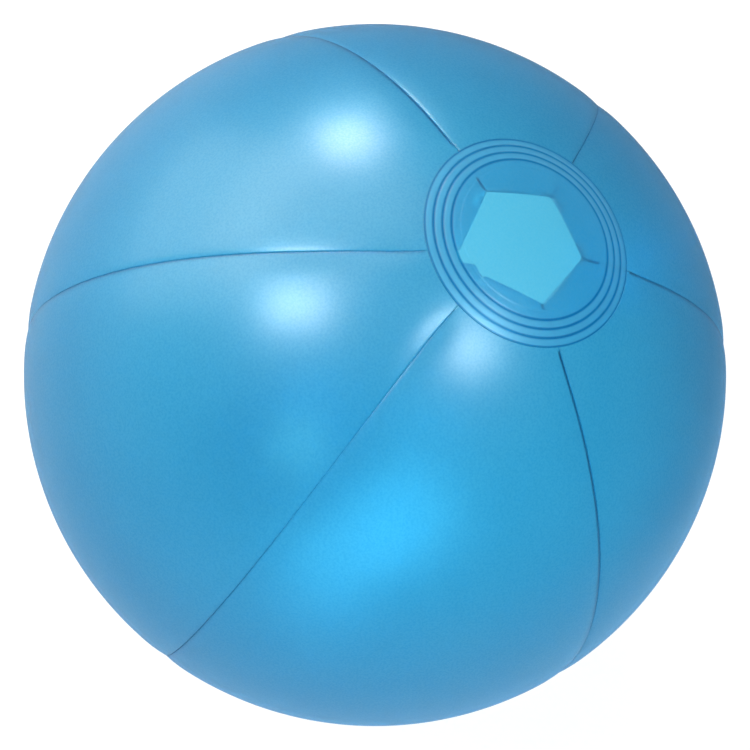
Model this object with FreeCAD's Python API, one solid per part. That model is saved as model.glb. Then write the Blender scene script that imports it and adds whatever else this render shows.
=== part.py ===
import FreeCAD, Part

import math
import os

# Inflatable beach ball, blown up firm. Six welded panels run from pole to pole, a round cap
# closes each pole, and a mouth valve sits in the middle of one panel.
# Millimetres. The origin is the centre of the ball and +Z runs through the top cap.
# The valve is drawn standing on +Z about the ball's centre, then turned onto its panel.

# Ball
ballDiameter = 270.0        # over the end caps
filmThickness = 0.3
panelCount = 6
firstSeamAngle = 0.0        # about Z, from +X
seamFinDepth = 1.6          # how far a welded seam stands into the ball
tipOpeningRadius = 18.0     # from the pole to a corner of the opening that the cut tips leave

# End caps
capDiameter = 66.0
weldRingCount = 3
weldRingPitch = 2.4
weldRingWidth = 1.3
weldRingHeight = 0.25
weldRingEdge = 1.4          # from the cap's edge to the middle of the outermost ring

# Valve
valvePanel = 2
mouthRadius = 11.0          # opening in the flange that the stem sinks through
panelHoleMargin = 1.0       # how much wider the hole in the panel is
flangeWeldWidth = 6.0
flangeThickness = 1.0
bellThickness = 0.6
bellRimDrop = 0.4           # from the flange's outer edge down to the bell's rim
stemLength = 12.0
stemOuterRadius = 4.8
boreRadius = 3.3
boreMouthRadius = 3.9
boreMouthDepth = 1.2
stemRimRadius = 5.5
stemRimHeight = 1.2
collarRadius = 6.2
collarThickness = 1.2
plugDiscRadius = 5.8
plugDiscThickness = 1.4
stopperRadius = 3.1
stopperTipRadius = 2.2
stopperLength = 4.2
tabWidth = 5.0
tabClearance = 1.6          # from the end of the pull tab to the flange
strapWidth = 3.2
strapThickness = 0.6
strapClearance = 2.6        # from the strap's bend to the flange
strapDrop = 2.6             # from the plug disc's underside down to the strap's root on the stem
flapRadius = 4.3
flapThickness = 0.5
flapGap = 0.1

# Worked out
ballRadius = ballDiameter / 2
panelOuterRadius = ballRadius - filmThickness
panelInnerRadius = panelOuterRadius - filmThickness
sectorAngle = 360.0 / panelCount
tipCutDistance = tipOpeningRadius * math.cos(math.radians(sectorAngle / 2))
stripTipAngle = math.asin(tipCutDistance / 2 / panelOuterRadius)    # starts inside the tips' cut
capAngle = math.asin(capDiameter / 2 / ballRadius)
plugTop = panelOuterRadius
stemTop = plugTop - plugDiscThickness
tabReach = mouthRadius - tabClearance
strapReach = mouthRadius - strapClearance
stemBottom = stemTop - stemLength
valveAngle = firstSeamAngle + (valvePanel - 0.5) * sectorAngle

origin = FreeCAD.Vector(0, 0, 0)
xAxis = FreeCAD.Vector(1, 0, 0)
yAxis = FreeCAD.Vector(0, 1, 0)
zAxis = FreeCAD.Vector(0, 0, 1)


def profilePoint(distance, height):
    """A point of a profile in the XZ plane."""
    return FreeCAD.Vector(distance, 0, height)


def polarPoint(radius, angle):
    """The same, given by its radius and its angle from +Z in radians."""
    return profilePoint(radius * math.sin(angle), radius * math.cos(angle))


def polarArc(radius, startAngle, endAngle):
    middle = (startAngle + endAngle) / 2
    return Part.Arc(
        polarPoint(radius, startAngle), polarPoint(radius, middle), polarPoint(radius, endAngle)
    ).toShape()


def line(start, end):
    return Part.LineSegment(start, end).toShape()


def bandFace(innerRadius, outerRadius, startAngle, endAngle):
    """A strip of a sphere's section, between two radii and two angles from +Z."""
    edges = [
        polarArc(outerRadius, startAngle, endAngle),
        line(polarPoint(outerRadius, endAngle), polarPoint(innerRadius, endAngle)),
        polarArc(innerRadius, endAngle, startAngle),
        line(polarPoint(innerRadius, startAngle), polarPoint(outerRadius, startAngle)),
    ]
    return Part.Face(Part.Wire(edges))


def turned(profile):
    """A full turn about Z of a closed list of (distance, height) points."""
    points = [profilePoint(distance, height) for distance, height in profile]
    return Part.Face(Part.makePolygon(points + points[:1])).revolve(origin, zAxis, 360)


def seamFin(atAngle, towards):
    """One panel's half of a welded seam: a flat lip that stands into the ball.

    It lies on the seam's plane and is one film thick, on the side that towards gives.
    """
    lip = bandFace(
        panelInnerRadius - seamFinDepth,
        panelInnerRadius + filmThickness / 2,
        stripTipAngle,
        math.pi - stripTipAngle,
    )
    fin = lip.extrude(yAxis * filmThickness * towards)
    fin.rotate(origin, zAxis, atAngle)
    return fin


def panel(number):
    """A gore from seam to seam, its two fins, and both tips cut off square."""
    startAngle = firstSeamAngle + (number - 1) * sectorAngle
    strip = bandFace(panelInnerRadius, panelOuterRadius, stripTipAngle, math.pi - stripTipAngle)
    strip.rotate(origin, zAxis, startAngle)
    gore = strip.revolve(origin, zAxis, sectorAngle)
    gore = gore.fuse([seamFin(startAngle, 1), seamFin(startAngle + sectorAngle, -1)])
    tips = Part.makeBox(
        ballRadius + tipCutDistance,
        ballDiameter,
        ballDiameter,
        FreeCAD.Vector(-ballRadius, -ballRadius, -ballRadius),
    )
    tips.rotate(origin, zAxis, startAngle + sectorAngle / 2)
    return gore.cut(tips).removeSplitter()


def endCap():
    """The round cap over the panel tips at +Z, with the rings that its weld leaves."""
    outline = [line(polarPoint(panelOuterRadius, 0), polarPoint(ballRadius, 0))]
    reached = 0.0
    for ring in reversed(range(weldRingCount)):
        middle = capAngle - (weldRingEdge + ring * weldRingPitch) / ballRadius
        half = weldRingWidth / 2 / ballRadius
        ringTop = polarPoint(ballRadius + weldRingHeight, middle)
        outline.append(polarArc(ballRadius, reached, middle - half))
        ringStart = polarPoint(ballRadius, middle - half)
        ringEnd = polarPoint(ballRadius, middle + half)
        outline.append(Part.Arc(ringStart, ringTop, ringEnd).toShape())
        reached = middle + half
    outline.append(polarArc(ballRadius, reached, capAngle))
    outline.append(line(polarPoint(ballRadius, capAngle), polarPoint(panelOuterRadius, capAngle)))
    outline.append(polarArc(panelOuterRadius, capAngle, 0))
    return Part.Face(Part.Wire(outline)).revolve(origin, zAxis, 360)


def valveFlange():
    """The ring welded inside the panel, around the valve's mouth."""
    outerRadius = mouthRadius + flangeWeldWidth
    ring = bandFace(
        panelInnerRadius - flangeThickness,
        panelInnerRadius,
        math.asin(mouthRadius / 2 / panelInnerRadius),
        math.asin(outerRadius / panelInnerRadius),
    ).revolve(origin, zAxis, 360)
    return ring.cut(Part.makeCylinder(mouthRadius, ballDiameter))


def valveBell():
    """The thin soft cone that lets the stem sink into the ball."""
    flangeEdge = math.sqrt(panelInnerRadius**2 - mouthRadius**2)
    rimTop = flangeEdge - bellRimDrop
    rootBottom = stemBottom + (collarThickness - bellThickness) / 2
    return turned([
        (mouthRadius, rimTop),
        (mouthRadius, rimTop - bellThickness),
        (collarRadius, rootBottom),
        (collarRadius, rootBottom + bellThickness),
    ])


def valveStem():
    """The tube to blow into, with a rim at its mouth and a collar at its root."""
    return turned([
        (boreRadius, stemBottom),
        (collarRadius, stemBottom),
        (collarRadius, stemBottom + collarThickness),
        (stemOuterRadius, stemBottom + collarThickness),
        (stemOuterRadius, stemTop - stemRimHeight),
        (stemRimRadius, stemTop - stemRimHeight),
        (stemRimRadius, stemTop),
        (boreMouthRadius, stemTop),
        (boreRadius, stemTop - boreMouthDepth),
    ])


def valvePlug():
    """The tapered stopper, its disc, and a round-ended pull tab on the side away from the strap."""
    body = turned([
        (0, stemTop - stopperLength),
        (stopperTipRadius, stemTop - stopperLength),
        (stopperRadius, stemTop),
        (plugDiscRadius, stemTop),
        (plugDiscRadius, plugTop),
        (0, plugTop),
    ])
    endCentre = tabReach - tabWidth / 2
    tab = Part.makeBox(
        tabWidth, endCentre, plugDiscThickness, FreeCAD.Vector(-tabWidth / 2, -endCentre, stemTop)
    )
    tabEnd = Part.makeCylinder(
        tabWidth / 2, plugDiscThickness, FreeCAD.Vector(0, -endCentre, stemTop)
    )
    return body.fuse([tab, tabEnd]).removeSplitter()


def plugStrap():
    """The strap that runs out from the plug's disc, bends, and comes back to the stem's side."""
    side = -strapWidth / 2
    upperLeg = stemTop + (plugDiscThickness - strapThickness) / 2
    lowerLeg = stemTop - strapDrop
    bendRadius = (upperLeg + strapThickness - lowerLeg) / 2
    bendAt = strapReach - bendRadius
    bendCentre = FreeCAD.Vector(side, bendAt, lowerLeg + bendRadius)
    bend = Part.makeCylinder(bendRadius, strapWidth, bendCentre, xAxis)
    inside = Part.makeCylinder(bendRadius - strapThickness, strapWidth, bendCentre, xAxis)
    innerHalf = Part.makeBox(
        strapWidth, bendRadius, 2 * bendRadius, FreeCAD.Vector(side, bendAt - bendRadius, lowerLeg)
    )
    legs = [
        Part.makeBox(strapWidth, bendAt, strapThickness, FreeCAD.Vector(side, 0, height))
        for height in (upperLeg, lowerLeg)
    ]
    disc = Part.makeCylinder(plugDiscRadius, plugDiscThickness, zAxis * stemTop)
    stem = Part.makeCylinder(stemOuterRadius, stemLength, zAxis * stemBottom)
    return bend.cut([inside, innerHalf]).fuse(legs).cut([disc, stem]).removeSplitter()


def checkFlap():
    """The thin disc under the stem's bore that air from the ball presses shut."""
    top = stemBottom - flapGap
    return Part.makeCylinder(flapRadius, flapThickness, FreeCAD.Vector(0, 0, top - flapThickness))


def onPanel(shape):
    """Turns a valve piece from +Z onto the middle of the valve's panel."""
    shape.rotate(origin, xAxis, -90)
    shape.rotate(origin, zAxis, valveAngle - 90)
    return shape


nodes = {}

for number in range(1, panelCount + 1):
    nodes[f"panel_{number}"] = panel(number)
panelHole = onPanel(Part.makeCylinder(mouthRadius + panelHoleMargin, ballDiameter))
nodes[f"panel_{valvePanel}"] = nodes[f"panel_{valvePanel}"].cut(panelHole)

nodes["top_cap"] = endCap()
bottomCap = endCap()
bottomCap.rotate(origin, xAxis, 180)
nodes["bottom_cap"] = bottomCap

nodes["valve_flange"] = onPanel(valveFlange())
nodes["valve_bell"] = onPanel(valveBell())
nodes["valve_stem"] = onPanel(valveStem())
nodes["valve_plug"] = onPanel(valvePlug())
nodes["plug_strap"] = onPanel(plugStrap())
nodes["check_flap"] = onPanel(checkFlap())

os.makedirs("parts", exist_ok=True)
for name, shape in nodes.items():
    shape.exportStep(f"parts/{name}.step")
    print(f"{name}: {len(shape.Solids)} solid, {shape.Volume:.1f} mm3, valid {shape.isValid()}")
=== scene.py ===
import bpy
import bmesh
import math
from mathutils import Matrix, Vector


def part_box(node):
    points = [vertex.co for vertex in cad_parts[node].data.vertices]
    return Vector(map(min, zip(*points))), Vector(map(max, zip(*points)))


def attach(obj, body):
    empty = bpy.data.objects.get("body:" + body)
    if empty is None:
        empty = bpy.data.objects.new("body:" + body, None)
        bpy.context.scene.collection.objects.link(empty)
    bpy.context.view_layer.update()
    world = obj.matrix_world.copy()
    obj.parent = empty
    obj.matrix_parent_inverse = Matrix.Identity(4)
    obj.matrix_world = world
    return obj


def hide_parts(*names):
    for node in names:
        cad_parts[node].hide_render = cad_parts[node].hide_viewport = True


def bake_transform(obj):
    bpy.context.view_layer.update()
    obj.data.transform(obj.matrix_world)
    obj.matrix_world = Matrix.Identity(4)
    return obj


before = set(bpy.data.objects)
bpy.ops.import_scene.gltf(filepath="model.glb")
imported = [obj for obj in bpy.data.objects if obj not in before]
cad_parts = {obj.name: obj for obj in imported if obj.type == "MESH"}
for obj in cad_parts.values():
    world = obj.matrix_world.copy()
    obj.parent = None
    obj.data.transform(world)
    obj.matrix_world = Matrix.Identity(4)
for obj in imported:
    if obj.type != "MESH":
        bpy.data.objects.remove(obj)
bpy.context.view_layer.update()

# The ball's centre is the origin, +Z runs through the top cap and +Y through the valve.
# Everything is in metres.
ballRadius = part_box("top_cap")[1].z
filmThickness = 0.0003
skinRadius = ballRadius - filmThickness  # outside of the panels, under the caps
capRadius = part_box("top_cap")[1].x  # seen from above
seamCount = 6


def newPiece(name, bm, materials, smooth=True):
    mesh = bpy.data.meshes.new(name)
    bm.to_mesh(mesh)
    bm.free()
    for material in materials:
        mesh.materials.append(material)
    for face in mesh.polygons:
        face.use_smooth = smooth
    piece = bpy.data.objects.new(name, mesh)
    bpy.context.collection.objects.link(piece)
    return piece


def faceOutwards(bm, centre=Vector((0, 0, 0))):
    bmesh.ops.recalc_face_normals(bm, faces=bm.faces[:])
    facing = sum(face.normal.dot(face.calc_center_median() - centre) * face.calc_area() for face in bm.faces)
    if facing < 0:
        bmesh.ops.reverse_faces(bm, faces=bm.faces[:])


# Materials

def newMaterial(name):
    material = bpy.data.materials.new(name)
    material.use_nodes = True
    material.node_tree.nodes.clear()
    return material, material.node_tree.nodes, material.node_tree.links


def mathStep(tree, operation, first, second=None):
    step = tree.nodes.new("ShaderNodeMath")
    step.operation = operation
    for socket, value in zip(step.inputs, (first, second)):
        if isinstance(value, (int, float)):
            socket.default_value = value
        elif value is not None:
            tree.links.new(value, socket)
    return step.outputs[0]


def newGroup(name, inputs, outputs):
    group = bpy.data.node_groups.new(name, "ShaderNodeTree")
    for label, kind, value in inputs:
        socket = group.interface.new_socket(name=label, in_out="INPUT", socket_type=kind)
        if value is not None:
            socket.default_value = value
    for label, kind in outputs:
        group.interface.new_socket(name=label, in_out="OUTPUT", socket_type=kind)
    return group, group.nodes.new("NodeGroupInput"), group.nodes.new("NodeGroupOutput")


def noise(tree, vector, scale, detail, distortion=0.0):
    texture = tree.nodes.new("ShaderNodeTexNoise")
    texture.inputs["Scale"].default_value = scale
    texture.inputs["Detail"].default_value = detail
    texture.inputs["Distortion"].default_value = distortion
    tree.links.new(vector, texture.inputs["Vector"])
    return texture.outputs["Fac"]


def spread(tree, value, low, high, newLow=0.0, newHigh=1.0):
    ramp = tree.nodes.new("ShaderNodeMapRange")
    ramp.interpolation_type = "SMOOTHSTEP"
    for label, number in (("From Min", low), ("From Max", high), ("To Min", newLow), ("To Max", newHigh)):
        ramp.inputs[label].default_value = number
    tree.links.new(value, ramp.inputs["Value"])
    return ramp.outputs["Result"]


# Rolled vinyl: cloudy thickness, fine flecks, orange peel and hairline scuffs.
# Scales are in features per metre.
grainLook = {
    "cloudScale": 22.0,
    "fleckScale": 1500.0,
    "peelScale": 420.0,
    "scuffScale": 34.0,
    "scuffBend": 2.5,
    "scuffWidth": 0.006,
    "scuffPatchScale": 60.0,
    "scuffDepth": 0.6,
}


def makeFilmGrain():
    group, given, made = newGroup(
        "filmGrain",
        [("Vector", "NodeSocketVector", None), ("Peel", "NodeSocketFloat", 1.0),
         ("Scuffs", "NodeSocketFloat", 1.0)],
        [("Cloud", "NodeSocketFloat"), ("Speckle", "NodeSocketFloat"), ("Height", "NodeSocketFloat")],
    )
    vector = given.outputs["Vector"]
    cloud = spread(group, noise(group, vector, grainLook["cloudScale"], 3.0, 0.6), 0.3, 0.7)
    speckle = spread(group, noise(group, vector, grainLook["fleckScale"], 2.0), 0.3, 0.7)
    peel = noise(group, vector, grainLook["peelScale"], 2.0)
    bent = noise(group, vector, grainLook["scuffScale"], 1.0, grainLook["scuffBend"])
    line = mathStep(group, "ABSOLUTE", mathStep(group, "SUBTRACT", bent, 0.5))
    hairline = spread(group, line, 0.0, grainLook["scuffWidth"], 1.0, 0.0)
    patch = spread(group, noise(group, vector, grainLook["scuffPatchScale"], 1.0), 0.58, 0.68)
    scuff = mathStep(group, "MULTIPLY", mathStep(group, "MULTIPLY", hairline, patch), given.outputs["Scuffs"])
    height = mathStep(group, "SUBTRACT", mathStep(group, "MULTIPLY", peel, given.outputs["Peel"]),
                      mathStep(group, "MULTIPLY", scuff, grainLook["scuffDepth"]))
    for label, value in (("Cloud", cloud), ("Speckle", speckle), ("Height", height)):
        group.links.new(value, made.inputs[label])
    return group


# Round lines pressed by a welding die about Z, counted inwards from the outermost. Only the +Z side has them.
def makeDieLines():
    group, given, made = newGroup(
        "dieLines",
        [("Vector", "NodeSocketVector", None), ("Outermost", "NodeSocketFloat", 0.03),
         ("Pitch", "NodeSocketFloat", 0.0024), ("Lines", "NodeSocketFloat", 3.0),
         ("Width", "NodeSocketFloat", 0.0003)],
        [("Line", "NodeSocketFloat"), ("Pressed", "NodeSocketFloat")],
    )
    axes = group.nodes.new("ShaderNodeSeparateXYZ")
    group.links.new(given.outputs["Vector"], axes.inputs["Vector"])
    flat = group.nodes.new("ShaderNodeCombineXYZ")
    group.links.new(axes.outputs["X"], flat.inputs["X"])
    group.links.new(axes.outputs["Y"], flat.inputs["Y"])
    length = group.nodes.new("ShaderNodeVectorMath")
    length.operation = "LENGTH"
    group.links.new(flat.outputs["Vector"], length.inputs[0])
    radius = length.outputs["Value"]
    inward = mathStep(group, "DIVIDE", mathStep(group, "SUBTRACT", given.outputs["Outermost"], radius),
                      given.outputs["Pitch"])
    innermost = mathStep(group, "SUBTRACT", given.outputs["Lines"], 1.0)
    nearest = mathStep(group, "MAXIMUM", mathStep(group, "ROUND", inward), 0.0)
    nearest = mathStep(group, "MINIMUM", nearest, innermost)
    away = mathStep(group, "ABSOLUTE", mathStep(group, "SUBTRACT", inward, nearest))
    away = mathStep(group, "MULTIPLY", away, given.outputs["Pitch"])
    away = mathStep(group, "DIVIDE", away, given.outputs["Width"])
    line = spread(group, away, 0.3, 1.4, 1.0, 0.0)
    pressed = mathStep(group, "LESS_THAN", inward, innermost)
    upwards = mathStep(group, "GREATER_THAN", axes.outputs["Z"], 0.0)
    pressed = mathStep(group, "MULTIPLY", pressed, upwards)
    group.links.new(line, made.inputs["Line"])
    group.links.new(pressed, made.inputs["Pressed"])
    return group


filmGrain = makeFilmGrain()
dieLines = makeDieLines()


def placeGroup(material, group, vector, values):
    node = material.node_tree.nodes.new("ShaderNodeGroup")
    node.node_tree = group
    material.node_tree.links.new(vector, node.inputs["Vector"])
    for label, value in values.items():
        node.inputs[label].default_value = value
    return node


def mixColour(tree, factor, first, second):
    mix = tree.nodes.new("ShaderNodeMix")
    mix.data_type = "RGBA"
    tree.links.new(factor, mix.inputs["Factor"])
    for socket, value in ((mix.inputs["A"], first), (mix.inputs["B"], second)):
        if isinstance(value, tuple):
            socket.default_value = (*value, 1)
        else:
            tree.links.new(value, socket)
    return mix.outputs["Result"]


def deeper(tint, power):  # the tint of a film that many times as thick
    return tuple(channel ** power for channel in tint)


panelTint = (0.18, 0.57, 0.74)

# Tint is what one layer lets through, and slant is how much darker the film turns edge-on: partly its longer
# path through the tinted film, partly painted rim shade.
films = {
    "panel": {"tint": panelTint, "roughness": 0.5, "coat": 0.08, "rimDepthAndShade": 3.3, "clear": 1.0},
    "seam": {"tint": deeper(panelTint, 1.75), "roughness": 0.4, "coat": 0.05, "rimDepthAndShade": 3.3, "clear": 1.0},
    "cap": {"tint": (0.49, 0.86, 0.95), "roughness": 0.5, "coat": 0.04, "rimDepthAndShade": 1.5, "clear": 1.0},
    "valve": {"tint": (0.42, 0.72, 0.86), "roughness": 0.42, "coat": 0.2, "rimDepthAndShade": 1.6, "clear": 0.75},
}

# what all of them share
filmLook = {
    "roughnessSpread": 0.02,
    "ior": 1.15,  # low, because a thin film doesn't bend light like a solid ball
    "coatIor": 2.2,
    "coatRoughness": 0.27,
    "peelHeight": 0.00002,
    "fleck": 0.55,
    "fleckThickness": 1.5,
    "cloudThickness": (0.92, 1.02),
    "slantPower": 2.5,  # how late the film turns deeper towards its edge, partly painted rim shade
    "bump": 0.25,
    "lampThickness": 0.5,  # what lamps shine through
}


# Soft see-through vinyl. It blurs what is seen through it, and lamps shine through it as a tinted sheet.
def filmMaterial(name, film, lines=()):
    tint = film["tint"]
    material, nodes, links = newMaterial(name)
    tree = material.node_tree
    output = nodes.new("ShaderNodeOutputMaterial")
    surface = nodes.new("ShaderNodeBsdfPrincipled")
    surface.inputs["Transmission Weight"].default_value = film["clear"]
    surface.inputs["IOR"].default_value = filmLook["ior"]
    surface.inputs["Coat Weight"].default_value = film["coat"]
    surface.inputs["Coat Roughness"].default_value = filmLook["coatRoughness"]
    surface.inputs["Coat IOR"].default_value = filmLook["coatIor"]
    place = nodes.new("ShaderNodeTexCoord")
    grain = placeGroup(material, filmGrain, place.outputs["Object"], {"Peel": 1.0, "Scuffs": 1.0})
    thin, thick = filmLook["cloudThickness"]
    colour = mixColour(tree, grain.outputs["Cloud"], deeper(tint, thin), deeper(tint, thick))
    fleck = mathStep(tree, "MULTIPLY", grain.outputs["Speckle"], filmLook["fleck"])
    colour = mixColour(tree, fleck, colour, deeper(tint, filmLook["fleckThickness"]))
    for line in lines:
        turn = nodes.new("ShaderNodeMapping")
        turn.inputs["Rotation"].default_value = line["turn"]
        links.new(place.outputs["Object"], turn.inputs["Vector"])
        rings = placeGroup(material, dieLines, turn.outputs["Vector"], line["values"])
        colour = mixColour(tree, rings.outputs["Pressed"], colour, deeper(tint, line["pressed"]))
        # on the caps this colour is painted shade of the die's grooves
        colour = mixColour(tree, rings.outputs["Line"], colour, line["line"])
    # darker edge-on: partly the longer path through the tinted film, partly painted rim shade
    facing = nodes.new("ShaderNodeLayerWeight")
    facing.inputs["Blend"].default_value = 0.5
    rimDepthAndShadeMask = mathStep(tree, "POWER", facing.outputs["Facing"], filmLook["slantPower"])
    colour = mixColour(tree, rimDepthAndShadeMask, colour, deeper(tint, film["rimDepthAndShade"]))
    links.new(colour, surface.inputs["Base Color"])
    smooth = film["roughness"] - filmLook["roughnessSpread"]
    rough = film["roughness"] + filmLook["roughnessSpread"]
    links.new(spread(tree, grain.outputs["Speckle"], 0.0, 1.0, smooth, rough), surface.inputs["Roughness"])
    bump = nodes.new("ShaderNodeBump")
    bump.inputs["Strength"].default_value = filmLook["bump"]
    bump.inputs["Distance"].default_value = filmLook["peelHeight"]
    links.new(grain.outputs["Height"], bump.inputs["Height"])
    links.new(bump.outputs["Normal"], surface.inputs["Normal"])
    clear = nodes.new("ShaderNodeBsdfTransparent")
    clear.inputs["Color"].default_value = (*deeper(tint, filmLook["lampThickness"]), 1)
    lightPath = nodes.new("ShaderNodeLightPath")
    forShadows = nodes.new("ShaderNodeMixShader")
    links.new(lightPath.outputs["Is Shadow Ray"], forShadows.inputs["Fac"])
    links.new(surface.outputs["BSDF"], forShadows.inputs[1])
    links.new(clear.outputs["BSDF"], forShadows.inputs[2])
    links.new(forShadows.outputs["Shader"], output.inputs["Surface"])
    return material


# The caps' welding die presses four round lines, coloured with painted shade of their grooves. The top cap
# sits a little towards the valve.
weldDie = {
    "outermost": 0.0328,
    "pitch": 0.00253,
    "lines": 4,
    "lineWidth": 0.00045,
    "grooveDepth": 0.00012,
    "crown": 0.00008,  # how far the band rises between two lines
    # the lines' dark colour is painted shade of the grooves
    "grooveShade": (0.03, 0.38, 0.6),
    "topTilt": (math.radians(-2.9), math.radians(-0.55)),  # about X, about Y
}
dieValues = {"Outermost": weldDie["outermost"], "Pitch": weldDie["pitch"], "Lines": weldDie["lines"],
             "Width": weldDie["lineWidth"]}
topTilt = Matrix.Rotation(weldDie["topTilt"][1], 3, "Y") @ Matrix.Rotation(weldDie["topTilt"][0], 3, "X")
bottomTilt = Matrix.Rotation(math.pi, 3, "X")
capLines = [{"turn": tuple(tilt.inverted().to_euler()), "values": dieValues, "pressed": 0.5,
             "line": weldDie["grooveShade"]} for tilt in (topTilt, bottomTilt)]

panelFilm = filmMaterial("panelFilm", films["panel"])
weldAndEdgeShade = filmMaterial("weldAndEdgeShade", films["seam"])
topCapFilm = filmMaterial("topCapFilm", films["cap"], capLines[:1])
bottomCapFilm = filmMaterial("bottomCapFilm", films["cap"], capLines[1:])
print("materials made")

# Panels: six gores with an inward fin along each side, tips cut off square under the caps

panelShape = {
    "rows": 96,
    "columns": 44,
    "tipStart": 0.05,  # angle from the axis where the film begins, before its tip is cut
    "tipHeight": 0.1,  # the cuts reach down to here
    "finDepth": 0.0008,
    "finOverlap": 0.001,  # how far the fins run in under a cap's edge
    "finFacing": 0.6,  # steeper faces than this take the weld's colour
    "sharpFold": 1.2,
    "shoulder": 0.00028,
    "seamGap": 0.00003,
    "seamDip": 0.0005,
    "dipWidth": 0.009,
    # how far each seam is from its even place, in degrees, along its length and near the top cap
    "drift": (0.5, 2.0, -1.3, 1.0, 1.3, -1.5),
    "topDrift": (-5.0, 0.0, 0.0, 0.0, 16.5, -14.0),
    "driftReach": 0.4,
    # how far from the axis each seam ends at the top, where two square cuts meet
    "tipCorners": (0.0180, 0.0211, 0.0217, 0.0184, 0.0179, 0.0146),
    "bottomCut": 0.0156,
}
seamAngles = [math.radians(60 * number + drift) for number, drift in enumerate(panelShape["drift"])]
topDrifts = [math.radians(drift) for drift in panelShape["topDrift"]]

# Panel 5's tip is ragged: only a small flap of it is left inside the weld.
tornTip = {"panel": 5, "cut": 0.0135, "height": 0.125, "weldEdge": -0.0186,
           "flap": ((-0.0017, -0.0186), (0.0003, -0.0151), (0.0042, -0.0148), (0.0075, -0.0186))}

valveHole = {"panel": 2, "radius": 0.012, "reach": 0.021, "cuts": 3}

capAxes = (topTilt @ Vector((0, 0, 1)), bottomTilt @ Vector((0, 0, 1)))
weldWidth = capRadius - weldDie["outermost"] + weldDie["pitch"] * (weldDie["lines"] - 1)


def pastCap(place):  # distance outside the nearest cap's edge, along the ball
    nearest = min(place.angle(axis) for axis in capAxes)
    return (nearest - math.asin(capRadius / ballRadius)) * ballRadius


def withCorners(faces):
    edges = list({edge for face in faces for edge in face.edges})
    verts = list({vert for face in faces for vert in face.verts})
    return verts + edges + faces


def tipCorner(seam):
    level = panelShape["tipCorners"][seam]
    fade = math.exp(-math.asin(level / skinRadius) / panelShape["driftReach"])
    angle = seamAngles[seam] + topDrifts[seam] * fade
    return Vector((math.cos(angle), math.sin(angle), 0)) * level


def cutTips(bm, number, middle):
    outward = Vector((math.cos(middle), math.sin(middle), 0))
    corner = tipCorner(number - 1)
    topCut = (corner, (tipCorner(number % seamCount) - corner).cross(Vector((0, 0, 1))))
    if number == tornTip["panel"]:
        topCut = (outward * tornTip["cut"], outward)
    for side, (place, normal) in ((1, topCut), (-1, (outward * panelShape["bottomCut"], outward))):
        faces = [face for face in bm.faces if face.calc_center_median().z * side > panelShape["tipHeight"]]
        bmesh.ops.bisect_plane(bm, geom=withCorners(faces), plane_co=place, plane_no=normal.normalized(),
                               clear_inner=True)


def tearTip(bm):
    flap = [Vector((*corner, 0)) for corner in tornTip["flap"]]
    lines = [(flap[0], Vector((0, 1, 0)))]
    lines += [(first, (second - first).cross(Vector((0, 0, 1)))) for first, second in zip(flap, flap[1:])]
    near = [face for face in bm.faces if face.calc_center_median().z > tornTip["height"]]
    for corner, normal in lines:
        bmesh.ops.bisect_plane(bm, geom=withCorners(near), plane_co=corner, plane_no=normal)
        near = [face for face in bm.faces if face.calc_center_median().z > tornTip["height"]]
    lost = []
    for face in near:
        middle = face.calc_center_median()
        outside = any((middle - corner).dot(normal) < 0 for corner, normal in lines[1:])
        if middle.y > tornTip["weldEdge"] and outside:
            lost.append(face)
    bmesh.ops.delete(bm, geom=lost, context="FACES")


def openForValve(bm):
    reach = valveHole["reach"]
    near = [edge for edge in bm.edges
            if all(vert.co.y > 0 and math.hypot(vert.co.x, vert.co.z) < reach for vert in edge.verts)]
    bmesh.ops.subdivide_edges(bm, edges=near, cuts=valveHole["cuts"], use_grid_fill=True)
    inside = [face for face in bm.faces if face.calc_center_median().y > 0
              and math.hypot(face.calc_center_median().x, face.calc_center_median().z) < valveHole["radius"]]
    bmesh.ops.delete(bm, geom=inside, context="FACES")
    for vert in bm.verts:
        across = math.hypot(vert.co.x, vert.co.z)
        if vert.co.y > 0 and across < reach:
            if vert.is_boundary:
                vert.co.x *= valveHole["radius"] / across
                vert.co.z *= valveHole["radius"] / across
            vert.co.y = math.sqrt(skinRadius ** 2 - vert.co.x ** 2 - vert.co.z ** 2)


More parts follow.
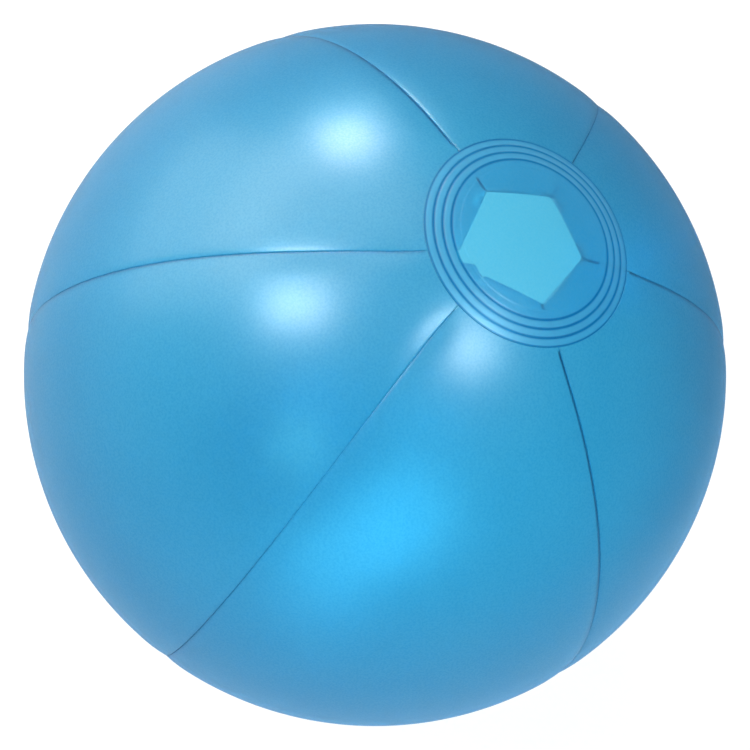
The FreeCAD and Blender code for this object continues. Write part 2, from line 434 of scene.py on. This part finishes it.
def buildPanel(number):
    first = number - 1
    start = seamAngles[first]
    end = seamAngles[number % seamCount]
    if end < start:
        end += math.tau
    gap = panelShape["seamGap"] / skinRadius
    tip = panelShape["tipStart"]
    bm = bmesh.new()
    onRim = bm.verts.layers.float.new("onRim")
    bm.verts.new((skinRadius * math.sin(tip), 0, skinRadius * math.cos(tip)))
    bmesh.ops.spin(bm, geom=bm.verts[:], cent=(0, 0, 0), axis=(0, 1, 0), angle=math.pi - 2 * tip,
                   steps=panelShape["rows"])
    bmesh.ops.rotate(bm, verts=bm.verts[:], cent=(0, 0, 0), matrix=Matrix.Rotation(start + gap, 3, "Z"))
    bmesh.ops.spin(bm, geom=bm.verts[:] + bm.edges[:], cent=(0, 0, 0), axis=(0, 0, 1),
                   angle=end - start - 2 * gap, steps=panelShape["columns"])
    if number == valveHole["panel"]:
        openForValve(bm)
    # Seams sink a little below the ball's curve and wander near the top cap.
    for vert in bm.verts:
        angle = (math.atan2(vert.co.y, vert.co.x) - start) % math.tau
        across = min(max(angle / (end - start), 0), 1)
        if angle > math.tau - 0.01:  # a hair before its own first seam
            across = 0
        level = math.hypot(vert.co.x, vert.co.y)
        toSeam = min(across, 1 - across) * (end - start) * level
        vert[onRim] = toSeam < 1.6 * gap * level  # nothing but the rim lies that near
        polar = math.acos(max(-1, min(1, vert.co.z / vert.co.length)))
        wander = topDrifts[first] * (1 - across) + topDrifts[number % seamCount] * across
        vert.co.rotate(Matrix.Rotation(wander * math.exp(-polar / panelShape["driftReach"]), 3, "Z"))
        clearOfCap = min(max(pastCap(vert.co) / panelShape["dipWidth"], 0), 1)
        sink = max(0, 1 - toSeam / panelShape["dipWidth"]) ** 2 * panelShape["seamDip"] * clearOfCap
        vert.co *= 1 - sink / skinRadius
    cutTips(bm, number, (start + end) / 2)
    if number == tornTip["panel"]:
        tearTip(bm)
    # Each panel has half of each seam's fin. There is none in the caps' welds.
    finTops = {vert for vert in bm.verts
               if vert[onRim] > 0.999 and not -weldWidth < pastCap(vert.co) < -panelShape["finOverlap"]}
    side = [edge for edge in bm.edges if edge.is_boundary and finTops.issuperset(edge.verts)]
    made = bmesh.ops.extrude_edge_only(bm, edges=side)["geom"]
    lower = [item for item in made if isinstance(item, bmesh.types.BMVert)]
    shrink = (skinRadius - panelShape["finDepth"]) / skinRadius
    bmesh.ops.scale(bm, vec=(shrink, shrink, shrink), verts=lower)
    corners = [edge for edge in bm.edges
               if len(edge.link_faces) == 2 and edge.calc_face_angle(0) > panelShape["sharpFold"]]
    bmesh.ops.bevel(bm, geom=corners, offset=panelShape["shoulder"], offset_type="OFFSET", affect="EDGES",
                    segments=3, profile=0.5, material=-1)
    faceOutwards(bm)
    for face in bm.faces:
        middle = face.calc_center_median()
        if abs(face.normal.dot(middle.normalized())) < panelShape["finFacing"]:
            face.material_index = 1
    piece = newPiece(f"panel{number}", bm, [panelFilm, weldAndEdgeShade])
    wall = piece.modifiers.new("thickness", "SOLIDIFY")
    wall.thickness = filmThickness
    wall.offset = -1
    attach(piece, "ball")
    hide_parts(f"panel_{number}")
    return piece


for number in range(1, seamCount + 1):
    buildPanel(number)
print("panels built")

# Caps: round discs welded over the cut tips, with the die's lines pressed in

capShape = {
    "rows": 150,
    "steps": 128,
    "gap": 0.00002,
    "edgeTaper": 0.0004,
    "edgeThickness": 0.00022,
    "grooveSlope": 1.6,
    "rimFacing": 0.5,  # steeper faces than this, the cap's cut edge, take the weld's darker colour: partly the film's edge, partly painted shade along the raised rim
}


def buildCap(name, node, side, tilt, material):
    rim = math.asin(capRadius / ballRadius)
    bm = bmesh.new()
    shells = []
    for outside in (True, False):
        radius = ballRadius if outside else skinRadius + capShape["gap"]
        pole = bm.verts.new((0, 0, radius))
        bmesh.ops.spin(bm, geom=[pole], cent=(0, 0, 0), axis=(0, 1, 0), angle=rim, steps=capShape["rows"])
        profile = [vert for vert in bm.verts if not any(vert in shell for shell in shells)]
        if outside:
            for vert in profile:
                away = vert.co.x
                inward = (weldDie["outermost"] - away) / weldDie["pitch"]
                nearest = min(max(round(inward), 1), weldDie["lines"] - 1)
                grooveHalf = weldDie["lineWidth"] * capShape["grooveSlope"]
                groove = max(0, 1 - abs(inward - nearest) * weldDie["pitch"] / grooveHalf)
                band = math.sin(math.pi * (inward % 1)) if 0 < inward < weldDie["lines"] - 1 else 0
                edge = max(0, 1 - (capRadius - away) / capShape["edgeTaper"])
                lift = weldDie["crown"] * (band - 1) * (1 - edge) * (inward < weldDie["lines"])
                taper = (filmThickness - capShape["edgeThickness"]) * edge ** 2
                drop = weldDie["grooveDepth"] * groove + taper
                vert.co *= 1 + (lift - drop) / ballRadius
        shells.append(profile)
    for profile in shells:
        edges = list({edge for vert in profile for edge in vert.link_edges})
        bmesh.ops.spin(bm, geom=profile + edges, cent=(0, 0, 0), axis=(0, 0, 1), angle=math.tau,
                       steps=capShape["steps"], use_merge=True)
    bmesh.ops.remove_doubles(bm, verts=bm.verts[:], dist=0.000002)
    bmesh.ops.bridge_loops(bm, edges=[edge for edge in bm.edges if edge.is_boundary])
    bmesh.ops.rotate(bm, verts=bm.verts[:], cent=(0, 0, 0), matrix=tilt)
    faceOutwards(bm, Vector((0, 0, side * (ballRadius - filmThickness / 2))))
    # the cap's steep cut edge takes the weld's darker colour, partly painted shade along the raised rim
    for face in bm.faces:
        middle = face.calc_center_median()
        if abs(face.normal.dot(middle.normalized())) < capShape["rimFacing"]:
            face.material_index = 1
    piece = newPiece(name, bm, [material, weldAndEdgeShade])
    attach(piece, "ball")
    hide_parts(node)
    return piece


buildCap("topCap", "top_cap", 1, topTilt, topCapFilm)
buildCap("bottomCap", "bottom_cap", -1, bottomTilt, bottomCapFilm)
print("caps built")

# Valve: a milky, softer vinyl moulding set into panel 2, with its plug on a strap

valveLook = {
    "sharpEdge": 0.6,
    "flatAngle": 0.02,
    "edgeSteps": 3,
    "turns": 72,
    "flangeThickness": 0.001,
    "flangeGap": 0.00003,
    "lipGap": 0.00012,
    "beadHeight": 0.0003,
    "bellThickness": 0.0006,
    "bellRows": 10,
    "strapThickness": 0.0006,
    "strapSteps": 14,
    "flatWeight": 80,  # keeps big faces flat next to rounded edges
    "line": (0.0012, 0.0014, 0.00025),  # from the flange's edge, pitch, width
}
edgeRadii = {"flange": 0.00012, "stem": 0.00015, "plug": 0.00025, "strap": 0.00012, "flap": 0.0001}
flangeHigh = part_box("valve_flange")[1]
bellLow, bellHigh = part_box("valve_bell")
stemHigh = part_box("valve_stem")[1]
strapLow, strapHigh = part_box("plug_strap")

lineInset, linePitch, lineWidth = valveLook["line"]
flangeValues = {"Outermost": flangeHigh.x - lineInset, "Pitch": linePitch, "Lines": 3, "Width": lineWidth}
flangeLines = [{"turn": (math.pi / 2, 0, 0), "values": flangeValues, "pressed": 1.1,
                "line": deeper(films["valve"]["tint"], 2.5)}]
valveVinyl = filmMaterial("valveVinyl", films["valve"])
flangeVinyl = filmMaterial("flangeVinyl", films["valve"], flangeLines)


def softenEdges(bm, amount):
    corners = [edge for edge in bm.edges
               if len(edge.link_faces) == 2 and edge.calc_face_angle(0) > valveLook["sharpEdge"]]
    bmesh.ops.bevel(bm, geom=corners, offset=amount, offset_type="OFFSET", affect="EDGES",
                    segments=valveLook["edgeSteps"], profile=0.5, material=-1, clamp_overlap=True)


# a round moulding about the valve's axis, from its section as (radius, height along +Y)
def turnSection(section):
    bm = bmesh.new()
    verts = [bm.verts.new((radius, height, 0)) for radius, height in section]
    for first, second in zip(verts, verts[1:] + verts[:1]):
        bm.edges.new((first, second))
    bmesh.ops.spin(bm, geom=bm.verts[:] + bm.edges[:], cent=(0, 0, 0), axis=(0, 1, 0), angle=math.tau,
                   steps=valveLook["turns"], use_merge=True)
    bmesh.ops.remove_doubles(bm, verts=bm.verts[:], dist=0.000002)
    return bm


def finishClosed(name, bm, material, node):
    bmesh.ops.recalc_face_normals(bm, faces=bm.faces[:])
    if bm.calc_volume(signed=True) < 0:
        bmesh.ops.reverse_faces(bm, faces=bm.faces[:])
    piece = newPiece(name, bm, [material])
    shading = piece.modifiers.new("flatFaces", "WEIGHTED_NORMAL")
    shading.weight = valveLook["flatWeight"]
    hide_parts(node)
    return piece


def underSkin(radius, depth):  # height of a point that far under the film, and that far from the valve's axis
    return math.sqrt((skinRadius - filmThickness - depth) ** 2 - radius ** 2)


# The flange lies under the film, and its lip stands in the film's hole.
mouth = bellHigh.x
flangeThickness = valveLook["flangeThickness"]
flangeGap = valveLook["flangeGap"]
lip = valveHole["radius"] - valveLook["lipGap"]
section = [(mouth, underSkin(mouth, flangeThickness)), (mouth, underSkin(mouth, 0) + valveLook["beadHeight"]),
           (lip, underSkin(lip, 0) + valveLook["beadHeight"]), (lip, underSkin(lip, flangeGap)),
           (flangeHigh.x, underSkin(flangeHigh.x, flangeGap)),
           (flangeHigh.x, underSkin(flangeHigh.x, flangeThickness))]
bm = turnSection(section)
softenEdges(bm, edgeRadii["flange"])
flange = finishClosed("valveFlange", bm, flangeVinyl, "valve_flange")
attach(flange, "ball")

# The bell is the cone that turns inside out when the stem is pulled up.
bellThickness = valveLook["bellThickness"]
bellRoot = stemHigh.x
bellFloor = bellLow.y + bellThickness
steps = [step / valveLook["bellRows"] for step in range(valveLook["bellRows"] + 1)]
inner = [(mouth + (bellRoot - mouth) * step, bellHigh.y + (bellFloor - bellHigh.y) * step) for step in steps]
section = inner + [(radius, height - bellThickness) for radius, height in reversed(inner)]
bell = finishClosed("valveBell", turnSection(section), valveVinyl, "valve_bell")
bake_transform(bell)


# The stem, plug and flap keep their drawn shapes, with the moulding's soft edges.
def moulded(name, node, body, edgeRadius):
    bm = bmesh.new()
    bm.from_mesh(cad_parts[node].data)
    bmesh.ops.remove_doubles(bm, verts=bm.verts[:], dist=0.000002)
    bmesh.ops.dissolve_limit(bm, angle_limit=valveLook["flatAngle"], use_dissolve_boundaries=False,
                             verts=bm.verts[:], edges=bm.edges[:], delimit={"NORMAL"})
    softenEdges(bm, edgeRadius)
    piece = finishClosed(name, bm, valveVinyl, node)
    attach(piece, body)
    return piece


moulded("valveStem", "valve_stem", "stem", edgeRadii["stem"])
moulded("valvePlug", "valve_plug", "plug", edgeRadii["plug"])
moulded("checkFlap", "check_flap", "flap", edgeRadii["flap"])

# The strap is a flat band bent back over itself between stem and plug.
strapThickness = valveLook["strapThickness"]
bendRadius = (strapHigh.y - strapLow.y - strapThickness) / 2
bendMiddle = (strapHigh.y + strapLow.y) / 2
bendStart = strapLow.z + bendRadius + strapThickness / 2
bm = bmesh.new()
bmesh.ops.create_grid(bm, x_segments=1, y_segments=1, size=0.5)
bmesh.ops.scale(bm, vec=(strapHigh.x - strapLow.x, strapThickness, 1), verts=bm.verts[:])
bmesh.ops.translate(bm, verts=bm.verts[:], vec=(0, strapHigh.y - strapThickness / 2, bendStart))
bmesh.ops.spin(bm, geom=withCorners(bm.faces[:]), cent=(0, bendMiddle, bendStart), axis=(1, 0, 0),
               angle=-math.pi, steps=valveLook["strapSteps"])
for height in (strapHigh.y - strapThickness / 2, strapLow.y + strapThickness / 2):
    ends = [face for face in bm.faces if abs(face.normal.z) > 0.9]
    end = min(ends, key=lambda face: abs(face.calc_center_median().y - height))
    leg = bmesh.ops.extrude_discrete_faces(bm, faces=[end])["faces"]
    bmesh.ops.translate(bm, verts=leg[0].verts[:], vec=(0, 0, strapHigh.z - bendStart))
bmesh.ops.remove_doubles(bm, verts=bm.verts[:], dist=0.000002)
softenEdges(bm, edgeRadii["strap"])
strap = finishClosed("plugStrap", bm, valveVinyl, "plug_strap")
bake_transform(strap)
print("valve built")

# Floor, light and camera

studio = {
    "reach": 30,
    "floor": (0.07, 0.07, 0.07),
    "glow": 0.93,
    "mirrored": 0.38,  # glow of the dim side in the ball's surface
    "darkSide": (-0.35, 0.94, 0),
    "darkFrom": (0.14, 0.45),
    "backdrop": 0.9,
    "horizon": 0.3,
    "zenith": 0.02,
    "fade": (0.2, 0.55),  # height over which the room's light fades from horizon to zenith
    "largeBox": 1.0,  # boxes this wide aren't seen through the film
}
floorMesh = bmesh.new()
bmesh.ops.create_grid(floorMesh, x_segments=1, y_segments=1, size=studio["reach"])
bmesh.ops.translate(floorMesh, verts=floorMesh.verts[:], vec=(0, 0, -ballRadius))
floorMaterial, nodes, links = newMaterial("floorPaper")
paper = nodes.new("ShaderNodeBsdfPrincipled")
paper.inputs["Base Color"].default_value = (*studio["floor"], 1)
paper.inputs["Roughness"].default_value = 0.7
paper.inputs["Emission Color"].default_value = (1, 1, 1, 1)
# What the ball mirrors from one side of the floor is dim, as if a dark card stood there.
floorTree = floorMaterial.node_tree
place = nodes.new("ShaderNodeTexCoord")
along = nodes.new("ShaderNodeVectorMath")
along.operation = "DOT_PRODUCT"
along.inputs[1].default_value = studio["darkSide"]
links.new(place.outputs["Object"], along.inputs[0])
ray = nodes.new("ShaderNodeLightPath")
darkArea = spread(floorTree, along.outputs["Value"], *studio["darkFrom"])
dim = mathStep(floorTree, "MULTIPLY", darkArea, ray.outputs["Is Glossy Ray"])
dim = mathStep(floorTree, "MULTIPLY", dim, studio["mirrored"] - studio["glow"])
links.new(mathStep(floorTree, "ADD", dim, studio["glow"]), paper.inputs["Emission Strength"])
links.new(paper.outputs["BSDF"], nodes.new("ShaderNodeOutputMaterial").inputs["Surface"])
floor = newPiece("floor", floorMesh, [floorMaterial], False)

world = bpy.data.worlds.new("studio")
world.use_nodes = True
nodes = world.node_tree.nodes
links = world.node_tree.links
place = nodes.new("ShaderNodeTexCoord")
axes = nodes.new("ShaderNodeSeparateXYZ")
height = nodes.new("ShaderNodeMapRange")
height.inputs["From Min"].default_value = studio["fade"][0]
height.inputs["From Max"].default_value = studio["fade"][1]
height.inputs["To Min"].default_value = studio["horizon"]
height.inputs["To Max"].default_value = studio["zenith"]
nodes["Background"].inputs["Color"].default_value = (1, 1, 1, 1)
backdrop = nodes.new("ShaderNodeMix")
backdrop.inputs["B"].default_value = studio["backdrop"]
seen = nodes.new("ShaderNodeLightPath")
links.new(seen.outputs["Is Camera Ray"], backdrop.inputs["Factor"])
links.new(place.outputs["Generated"], axes.inputs["Vector"])
links.new(axes.outputs["Z"], height.inputs["Value"])
links.new(height.outputs["Result"], backdrop.inputs["A"])
links.new(backdrop.outputs["Result"], nodes["Background"].inputs["Strength"])
bpy.context.scene.world = world


# a lamp that points at the ball's middle, its power in watts
def softbox(name, direction, distance, width, height, power, colour=(1, 1, 1)):
    light = bpy.data.lights.new(name, "AREA")
    light.color = colour
    light.shape = "RECTANGLE"
    light.size = width
    light.size_y = height
    light.energy = power
    lamp = bpy.data.objects.new(name, light)
    lamp.location = Vector(direction).normalized() * distance
    lamp.rotation_euler = lamp.location.to_track_quat("Z", "Y").to_euler()
    lamp.visible_camera = False
    lamp.visible_transmission = width < studio["largeBox"]
    bpy.context.collection.objects.link(lamp)


warmWhite = (1.0, 0.97, 0.8)
softbox("keyLight", (-0.839, 0.118, 0.531), 1.2, 0.25, 0.28, 12)
softbox("frontLight", (-0.330, -0.536, 0.777), 1.2, 0.20, 0.34, 11)
softbox("topLight", (0.179, 0.064, 0.982), 1.2, 0.25, 0.25, 9)
softbox("fillLight", (-0.66, -0.22, 0.70), 1.3, 1.2, 1.2, 24, warmWhite)
softbox("sideLight", (-0.85, -0.50, 0.28), 1.5, 1.3, 1.3, 31, warmWhite)
softbox("underLight", (0.241, 0.045, -0.970), 0.141, 0.10, 0.10, 0.025)

cameraView = {"azimuth": 17.6, "elevation": 66.0, "roll": 48.0, "distance": 3.0, "lens": 47.8}
azimuth = math.radians(cameraView["azimuth"])
elevation = math.radians(cameraView["elevation"])
viewLine = Vector((math.sin(azimuth) * math.cos(elevation), -math.cos(azimuth) * math.cos(elevation),
                   math.sin(elevation)))
camera = bpy.data.objects.new("camera", bpy.data.cameras.new("camera"))
camera.data.lens = cameraView["lens"]
camera.location = viewLine * cameraView["distance"] * ballRadius
roll = Matrix.Rotation(math.radians(cameraView["roll"]), 3, "Z")
camera.rotation_euler = (viewLine.to_track_quat("Z", "Y").to_matrix() @ roll).to_euler()
bpy.context.collection.objects.link(camera)
bpy.context.scene.camera = camera
bpy.context.scene.view_settings.view_transform = "Standard"
bpy.context.scene.cycles.use_denoising = True
